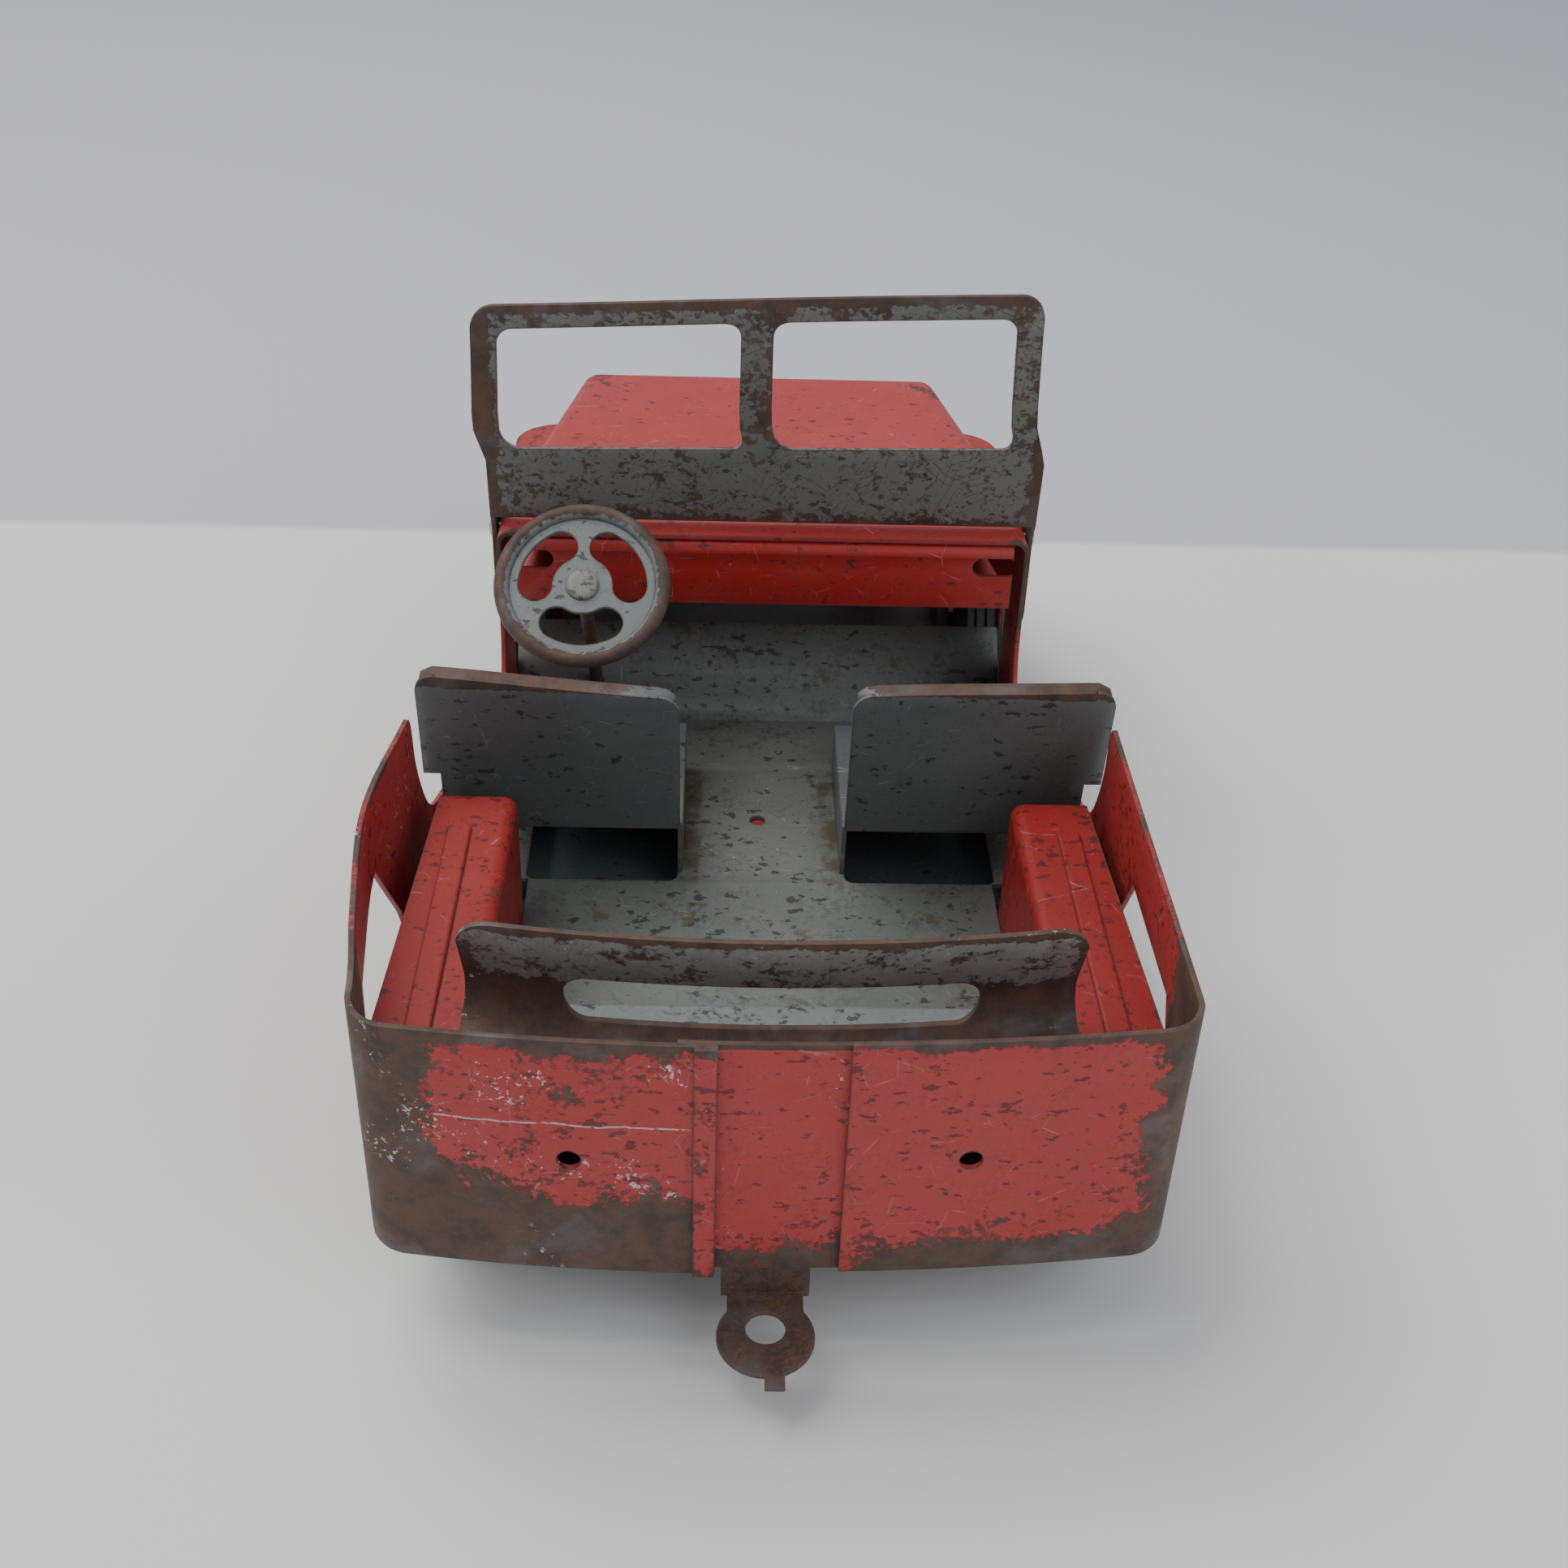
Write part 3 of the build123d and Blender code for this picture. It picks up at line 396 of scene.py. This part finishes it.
def rear_left_wear(s):
    """Bare corner, lower third and top rim of the left rear sheet."""
    corner = s.fall(s.x, -64, -50)
    low = s.fall(s.z, 24, 42)
    low_outer = s.mul(s.fall(s.z, 30, 54), s.fall(s.x, -52, -34))
    top = s.step(s.z, 64.5, 70)
    wall_rim = s.mul(s.step(s.z, 67, 70), 0.16)
    spread = s.add(s.mul(corner, 0.40), s.mul(low, 0.36), s.mul(low_outer, 0.14),
                   s.mul(top, 0.12))
    # the wear stops at the seam in the middle of the panel
    spread = s.mul(spread, s.step(s.x, -11.8, -13.2))
    upper = s.mul(s.band(s.z, 58, 66, 4), 0.045)
    sill = s.mul(s.fall(s.z, 21, 30), 0.10)
    return s.add(s.mul(s.add(spread, upper, 0.06), rear_sheet(s)), wall_rim, sill)


def rear_right_wear(s):
    """Bare right corner and scattered low patches of the right rear sheet."""
    corner = s.step(s.x, 54, 69)
    low = s.mul(s.fall(s.z, 18, 36), s.step(s.x, 6, 30))
    top = s.step(s.z, 67.5, 70)
    spread = s.add(s.mul(corner, 0.33), s.mul(low, 0.25), s.mul(top, 0.09))
    sill = s.mul(s.fall(s.z, 21, 30), 0.09)
    return s.add(s.mul(s.add(spread, 0.02), rear_sheet(s)), s.mul(top, 0.14), sill)


def strap_wear(s):
    """Bare foot and rim of the strap behind the seam."""
    rim = s.mul(s.step(s.z, 68.2, 69.0), 0.5)
    return s.add(s.mul(s.fall(s.z, 18, 36), 0.22), s.mul(s.step(s.z, 66, 70), 0.08), rim)


def screen_wear(s):
    """Brown outer frame, middle post and side arms of the windscreen."""
    lean = s.add(s.z, s.mul(s.x, -0.042))
    top = s.step(lean, 130.0, 132.4)
    side = s.step(s.absolute(s.x), 56.8, 59.6)
    low_side = s.mul(s.step(s.absolute(s.x), 51, 59), s.fall(s.z, 96, 104))
    upper = s.mul(s.step(s.z, 98, 102), 0.035)
    post = s.mul(s.fall(s.absolute(s.x), 2.0, 5.0), s.step(s.z, 98, 102))
    arms = s.mul(s.fall(s.z, 78, 84), 0.30)
    return s.add(s.mul(top, 0.28), s.mul(side, 0.24), s.mul(post, 0.05), arms, upper,
                 s.mul(low_side, 0.06))


def seat_wear(s):
    """Brown top flange of the seats."""
    return s.mul(s.step(s.z, 73.2, 75.4), 0.42)


def rear_seat_wear(s):
    """Brown top edge, ends and lower bend."""
    top = s.step(s.z, 77.6, 79.8)
    ends = s.step(s.absolute(s.x), 46.5, 50.5)
    low = s.fall(s.z, 62, 69.5)
    return s.add(s.mul(top, 0.24), s.mul(low, 0.34), s.mul(ends, 0.12), 0.045)


def wheel_rim_wear(s):
    """Bare rim of the steering wheel, by distance from its hub."""
    distance = s.measure("LENGTH", s.vector("SUBTRACT", s.place, STEERING_HUB))
    return s.mul(s.step(distance, 14.8, 17.4), 0.36)


def splash_wear(s):
    """More chips low down and at the front end, where the toy was knocked."""
    low = s.fall(s.z, 22, 36)
    nose = s.step(s.y, 110, 146)
    return s.add(s.mul(low, 0.05), s.mul(nose, 0.045))


def hood_wear(s):
    """Dark nicks at the front corners, bare rim along the cowl."""
    front = s.mul(s.step(s.y, 98, 120), s.step(s.absolute(s.x), 22, 40))
    cowl = s.mul(s.fall(s.y, 26, 29), s.step(s.absolute(s.x), 50, 57))
    return s.add(s.mul(front, 0.15), s.mul(cowl, 0.30))


def spot(s, across, up, radius):
    """One at a point on the rear sheet, falling to zero at the radius."""
    dx = s.add(s.x, -across)
    dz = s.add(s.z, -up)
    distance = s.math("POWER", s.add(s.mul(dx, dx), s.mul(dz, dz)), 0.5)
    return s.fall(distance, radius * 0.2, radius)


# where pale primer shows on the left rear sheet: across, up, radius
PRIMER_PATCHES = (
    (-15.5, 63.5, 5), (-43, 59, 7), (-38, 61, 5), (-56, 51, 7),
    (-22, 42, 6), (-31, 43, 5), (-17, 39, 4), (-62, 44, 6),
)


def rear_left_marks(s, colour):
    """One long light scratch and patches of pale primer showing."""
    level = s.add(s.z, s.mul(s.noise(0.12, 3, 0.6, seed=40), 1.6))
    line = s.mul(s.band(level, 53.0, 53.18, 0.16), s.band(s.x, -53, -14, 1.5))
    line = s.mul(line, s.step(s.noise(0.6, 3, 0.6, seed=41), 0.36, 0.46))
    near = s.most(*[spot(s, *patch) for patch in PRIMER_PATCHES])
    crumbs = s.step(s.add(s.noise(0.85, 5, 0.7, seed=42), s.mul(near, 0.10)), 0.665, 0.69)
    crumbs = s.mul(crumbs, s.step(near, 0.02, 0.10))
    marks = s.mul(s.most(s.mul(line, 0.8), crumbs), rear_sheet(s))
    return s.mix(s.mul(marks, 0.85), colour, PRIMER)


def floor_marks(s, colour):
    """Yellow-brown stains along the seat feet, pale specks on the tunnel."""
    across = s.absolute(s.x)
    feet = s.mul(s.band(across, 13.6, 16.4, 1.4), s.band(s.y, -28, 10, 5))
    feet = s.mul(feet, s.step(s.noise(0.12, 5, 0.65, seed=50), 0.36, 0.56))
    patches = s.mul(s.step(s.noise(0.10, 6, 0.7, seed=51), 0.58, 0.66), 0.6)
    stained = s.mix(s.most(s.mul(feet, 0.8), patches), colour, FLOOR_STAIN)
    specks = s.mul(s.step(s.noise(0.75, 3, 0.6, seed=52), 0.70, 0.73),
                   s.mul(s.fall(across, 9, 14), s.band(s.y, -34, 12, 8)))
    return s.mix(s.mul(specks, 0.85), stained, FLOOR_SPECK)


# ---- materials: by node, and by slot for the rest ------------------------------
paints = {
    "body_side_left": enamel("red_rear_left", RED_FRESH, RED_FADED, 0.75,
                             region=rear_left_wear, primer=0.2, seed=1.0, nicks=0.45,
                             extra=rear_left_marks),
    "body_side_right": enamel("red_rear_right", RED_FRESH, RED_FADED, 0.75,
                              region=rear_right_wear, seed=2.0, nicks=0.45),
    "rear_seam_strap": enamel("red_strap", RED_FRESH, RED_FADED, 0.75, region=strap_wear,
                              seed=3.0, primer=0.2),
    "hood": enamel("red_hood", RED_FRESH, RED_FADED, 0.85, wear=-0.20, seed=4.0, nicks=0.0,
                   region=hood_wear),
    "dash_panel": enamel("red_dash", RED_FRESH, RED_FADED, 0.2, wear=-0.20, seed=5.0, nicks=0.2),
    "windshield_frame": enamel("grey_screen", SCREEN_FRESH, SCREEN_FADED, 0.6, wear=-0.075,
                               region=screen_wear, seed=6.0, nicks=0.4, chip_scale=2.0,
                               scuffs=0.9),
    "rear_seat_back": enamel("grey_rear_seat", GREY_FADED, GREY_WARM, 0.7, wear=-0.11,
                             region=rear_seat_wear, seed=7.0, primer=0.5, chip_scale=1.3,
                             scuffs=0.4),
    "floor_pan": enamel("grey_floor", FLOOR_FRESH, FLOOR_FADED, 0.5, wear=-0.17, seed=17.0,
                        grime=0.6, nicks=0.3, extra=floor_marks),
    "steering_rivet": enamel("grey_rivet", GREY_FADED, GREY_WARM, 0.8, wear=-0.08, seed=18.0),
    # painted shade: the plate under the seats is a dark sheet seen through the seat holes, and
    # its colour stands in for the shade under the seats
    "underseat_plate": enamel("underside_painted_shade", PAINTED_SHADE_UNDERSIDE_FRESH, PAINTED_SHADE_UNDERSIDE_FADED, 0.5,
                              wear=-0.30, seed=19.0, nicks=0.0, edge_wear=0.0),
    "rear_seat_pan": enamel("grey_rear_pan", GREY_FRESH, GREY_FADED, 1.0, wear=-0.13, seed=8.0),
    "steering_wheel": enamel("grey_wheel", GREY_FRESH, GREY_FADED, 1.0, wear=-0.16,
                             region=wheel_rim_wear, seed=9.0, edge_wear=0.22),
    "wheel_well_left": enamel("red_wells", WELL_FRESH, WELL_FADED, 0.45, wear=-0.13,
                              seed=24.0, nicks=0.5),
}
# painted shade: the engine tray behind the toe board is the same dark sheet, and its colour
# stands in for the shade inside the nose
paints["engine_tray"] = paints["underseat_plate"]
paints["wheel_well_right"] = paints["wheel_well_left"]
for name, seat_seed in (("front_seat_left", 25.0), ("front_seat_right", 26.0)):
    paints[name] = enamel("grey_" + name, GREY_FRESH, GREY_FADED, 0.15, wear=-0.20,
                          region=seat_wear, seed=seat_seed, nicks=0.15)
shared = {
    "red_paint": enamel("red_worn", RED_FRESH, RED_FADED, 0.45, wear=-0.115, seed=20.0,
                        edge_wear=0.38, region=splash_wear),
    "grey_paint": enamel("grey_worn", GREY_FRESH, GREY_FADED, 0.45, wear=-0.15, seed=21.0,
                         grime=0.5),
    "rusty_steel": rusty("rusty_steel", seed=22.0),
    "plated_steel": plated("plated_steel", seed=23.0),
    "rubber": tyre_rubber("old_rubber"),
}


def paint_of(node):
    return paints.get(node) or shared[slot_of[node]]


# ---- refined copies of the pressings --------------------------------------------
WELD_DISTANCE = 1e-6
FLAT_ANGLE = math.radians(0.4)    # facets closer than this are one face
BEVEL_ANGLE = math.radians(38)    # edges sharper than this are rounded
CREASE_ANGLE = math.radians(32)   # edges sharper than this are shaded as creases


def slice_mesh(mesh, pitch):
    """Cuts the mesh across each axis about every pitch millimetres, so that it can bend.

    A pitch of zero leaves that axis alone.
    """
    low = Vector([min(v.co[i] for v in mesh.verts) for i in range(3)])
    high = Vector([max(v.co[i] for v in mesh.verts) for i in range(3)])
    for axis in range(3):
        if pitch[axis] <= 0:
            continue
        count = int((high[axis] - low[axis]) / (pitch[axis] * MM))
        for index in range(1, count + 1):
            point = low.copy()
            point[axis] = low[axis] + (high[axis] - low[axis]) * index / (count + 1)
            normal = Vector((0, 0, 0))
            normal[axis] = 1
            everything = mesh.verts[:] + mesh.edges[:] + mesh.faces[:]
            bmesh.ops.bisect_plane(mesh, geom=everything, plane_co=point, plane_no=normal)


def refine(node, pitch, bend=None, bevel=0.16):
    """Copy of a CAD pressing with rounded edges, bent as the old toy is."""
    mesh = bmesh.new()
    mesh.from_mesh(nodes[node].data)
    bmesh.ops.remove_doubles(mesh, verts=mesh.verts, dist=WELD_DISTANCE)
    bmesh.ops.dissolve_limit(mesh, angle_limit=FLAT_ANGLE, verts=mesh.verts, edges=mesh.edges)
    data = bpy.data.meshes.new(node + "_worn")
    mesh.to_mesh(data)
    mesh.free()
    piece = bpy.data.objects.new(node + "_worn", data)
    bpy.context.scene.collection.objects.link(piece)
    if bevel > 0:
        rounding = piece.modifiers.new("rounding", "BEVEL")
        rounding.width = bevel * MM
        rounding.segments = 2
        rounding.limit_method = "ANGLE"
        rounding.angle_limit = BEVEL_ANGLE
        rounding.use_clamp_overlap = True
        bpy.context.view_layer.update()
        evaluated = piece.evaluated_get(bpy.context.evaluated_depsgraph_get())
        data = bpy.data.meshes.new_from_object(evaluated)
        piece.modifiers.clear()
        piece.data = data
    mesh = bmesh.new()
    mesh.from_mesh(data)
    slice_mesh(mesh, pitch)
    bmesh.ops.triangulate(mesh, faces=[face for face in mesh.faces if len(face.verts) > 4])
    if bend is not None:
        for vertex in mesh.verts:
            vertex.co = Vector(bend(*(vertex.co / MM))) * MM
    for face in mesh.faces:
        face.smooth = True
    for edge in mesh.edges:
        if len(edge.link_faces) == 2 and edge.calc_face_angle(0.0) > CREASE_ANGLE:
            edge.smooth = False
    mesh.to_mesh(data)
    mesh.free()
    data.materials.clear()
    data.materials.append(paint_of(node))
    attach(piece, body_of[node])
    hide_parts(node)


def bell(value, middle, width):
    """One at the middle, falling away on both sides."""
    return math.exp(-((value - middle) / width) ** 2)


def share_of(value, low, high):
    """Zero below low, one above high, straight between."""
    return min(max((value - low) / (high - low), 0.0), 1.0)


def ramp(value, low, high):
    """Zero below low, one above high, smooth between."""
    t = share_of(value, low, high)
    return t * t * (3 - 2 * t)


def bent_left_side(x, y, z):
    """The left wall bulges outward by the wheel well and is pulled in at the corner."""
    push = 4.6 * bell(y, -66, 30) * ramp(-x, 40, 60) * (0.25 + 0.75 * ramp(z, 25, 70))
    pull = 1.4 * ramp(-y, 96, 118) * ramp(-x, 40, 62)
    return x - push + pull, y, z + 0.4 * math.sin(y / 17)


def bent_right_side(x, y, z):
    """The right wall's rim is slightly wavy."""
    return x, y, z + 0.3 * math.sin(y / 21 + 1)


def bent_screen(x, y, z):
    """The frame leans to the left above its lower panel and its stiles are kinked."""
    lift = ramp(z, 84, 118)
    side = -2.6 * ramp(z, 96, 106)
    wave = 0.5 * math.sin(x / 23 + 0.8) * ramp(z, 100, 131)
    upper = share_of(z, 100, 131)
    slim = 0.22 * ramp(9 - abs(x), 0, 4.5) * ramp(z, 97, 100)
    x *= (1 - 0.022 * ramp(z, 96, 131)) * (1 - slim)
    z += 1.6 * upper - 0.9 * bell(z, 100, 6)
    return x + side, y + wave + 1.5 * upper, z + 0.042 * x * lift


def raised_hood(x, y, z):
    """The hood runs nearly level towards its nose. It is lifted ahead of the pivot holes."""
    return x, y, z + 2.4 * share_of(y, 46, 126) * share_of(z, 58, 76)


SEAT_LEAN = math.radians(7.7)
SEAT_FOOT_Y, SEAT_FOOT_Z = -27, 39     # foot of the back, where it starts to lean
SEAT_MIDDLE = 42.7                     # middle of the back, from the car's middle
SEAT_INNER, SEAT_OUTER = 21.0, 64.4    # where the upper corners start to round
CORNER_RADIUS = 4


def bent_seat(x, y, z):
    """The seatbacks rise outwards, and their flanges run on round the upper corners."""
    lift = ramp(z, 40, 75)
    rise = 0.075 if x < 0 else 0.05
    back, up = y - SEAT_FOOT_Y, z - SEAT_FOOT_Z
    ahead = back * math.cos(SEAT_LEAN) + up * math.sin(SEAT_LEAN)
    height = up * math.cos(SEAT_LEAN) - back * math.sin(SEAT_LEAN)
    on_flange = ahead > 1.15 or (ahead > 0.9 and 21.3 < abs(x) < 64.1)
    if on_flange and height > 34:
        x = math.copysign(SEAT_MIDDLE + (abs(x) - SEAT_MIDDLE) * 1.17, x)
        over = min(max(abs(x) - SEAT_OUTER, SEAT_INNER - abs(x), 0.0), 3.6)
        z -= CORNER_RADIUS - math.sqrt(CORNER_RADIUS ** 2 - over ** 2)
    return x, y + 0.6 * math.sin(x / 15) * lift, z + rise * (abs(x) - 42) * lift


def wide_floor(x, y, z):
    """The floor reaches out to the body sides ahead of the wheel wells."""
    rim_x, well_front_y = 52.6, -30.5
    if abs(x) < rim_x or y < well_front_y:
        return x, y, z
    return math.copysign(57.2 + 10.0 * ramp(-y, -16, 30), x), y, z


def swept_fender(x, y, z):
    """The fender narrows and sinks behind the front wheel."""
    inner_x = 44
    back = ramp(-y, -84, -46)
    width = (abs(x) - inner_x) * (1 - 0.36 * back)
    return math.copysign(inner_x + width, x), y, z - 4 * back


def flat_rivet(x, y, z):
    """A broad low rivet head on the steering wheel's hub."""
    axis = Vector((0, -math.cos(STEERING_RAKE), math.sin(STEERING_RAKE)))
    hub = Vector(STEERING_HUB)
    away = Vector((x, y, z)) - hub
    along = away.dot(axis)
    return hub + (away - axis * along) * 1.25 + axis * along * 0.75


refine("body_side_left", (8, 5, 5), bent_left_side)
refine("body_side_right", (8, 5, 5), bent_right_side)
refine("rear_seam_strap", (4, 0, 6))
refine("windshield_frame", (5, 0, 4), bent_screen)
for node in ("front_seat_left", "front_seat_right"):
    refine(node, (2.2, 8, 4), bent_seat)
refine("hood", (0, 12, 6), raised_hood)
refine("floor_pan", (0, 4, 0), wide_floor)
for node in ("fender_left", "fender_right"):
    refine(node, (0, 5, 0), swept_fender)
refine("steering_rivet", (0, 0, 0), flat_rivet, bevel=0)
refine("rear_seat_back", (5, 0, 0))
for node in ("dash_panel", "rear_seat_pan", "tow_hitch"):
    refine(node, (0, 0, 0))

# every other CAD node keeps its mesh and gets its worn material
for node, part in nodes.items():
    if not part.hide_render:
        part.data.materials.clear()
        part.data.materials.append(paint_of(node))


# ---- floor, light, camera --------------------------------------------------------
def floor_material():
    """Pale table, a shade darker and cooler beyond its far edge."""
    s = Shade("pale_table")
    beyond = s.step(s.y, 186, 192)
    soft = s.noise(0.004, 2, 0.5)
    near = s.mix(s.step(soft, 0.3, 0.7), *TABLE_NEAR)
    s.link(s.mix(beyond, near, TABLE_BEYOND), s.bsdf.inputs["Base Color"])
    s.bsdf.inputs["Roughness"].default_value = 0.8
    s.bsdf.inputs["Specular IOR Level"].default_value = 0.2
    return s.material


bpy.ops.mesh.primitive_plane_add(size=12, location=(0, 0, 0))
table = bpy.context.object
table.name = "table"
table.data.materials.append(floor_material())

world = bpy.data.worlds.new("soft_room")
bpy.context.scene.world = world
world.use_nodes = True
background = world.node_tree.nodes["Background"]
background.inputs["Color"].default_value = ROOM_COLOUR
background.inputs["Strength"].default_value = 0.55


def area_light(name, place, target, size, power, colour):
    light = bpy.data.lights.new(name, "AREA")
    light.size = size
    light.energy = power
    light.color = colour
    lamp = bpy.data.objects.new(name, light)
    bpy.context.scene.collection.objects.link(lamp)
    lamp.location = place
    lamp.rotation_euler = (Vector(target) - Vector(place)).to_track_quat("-Z", "Y").to_euler()


area_light("window", (-0.55, 0.25, 1.25), (0, 0, 0), 1.1, 16, (1.0, 0.98, 0.96))
area_light("fill", (0.9, -0.9, 0.9), (0, 0, 0.03), 1.0, 5, (0.92, 0.95, 1.0))

# the camera that was fitted to the photo's straight edges
CAMERA_PLACE = (-9.509, -346.39, 262.435)
camera_data = bpy.data.cameras.new("camera")
camera = bpy.data.objects.new("camera", camera_data)
bpy.context.scene.collection.objects.link(camera)
camera_data.sensor_width = 36.0
camera_data.lens = 43.28
camera_data.clip_start = 0.01
yaw, pitch, roll = math.radians(2.44), math.radians(33.54), math.radians(-2.22)
forward = Vector((
    math.sin(yaw) * math.cos(pitch), math.cos(yaw) * math.cos(pitch), -math.sin(pitch)
))
level = Vector((math.cos(yaw), -math.sin(yaw), 0))
down = forward.cross(level)
right = math.cos(roll) * level + math.sin(roll) * down
below = -math.sin(roll) * level + math.cos(roll) * down
turn = Matrix((right, -below, -forward)).transposed()
camera.matrix_world = Matrix.Translation(Vector(CAMERA_PLACE) * MM) @ turn.to_4x4()
bpy.context.scene.camera = camera
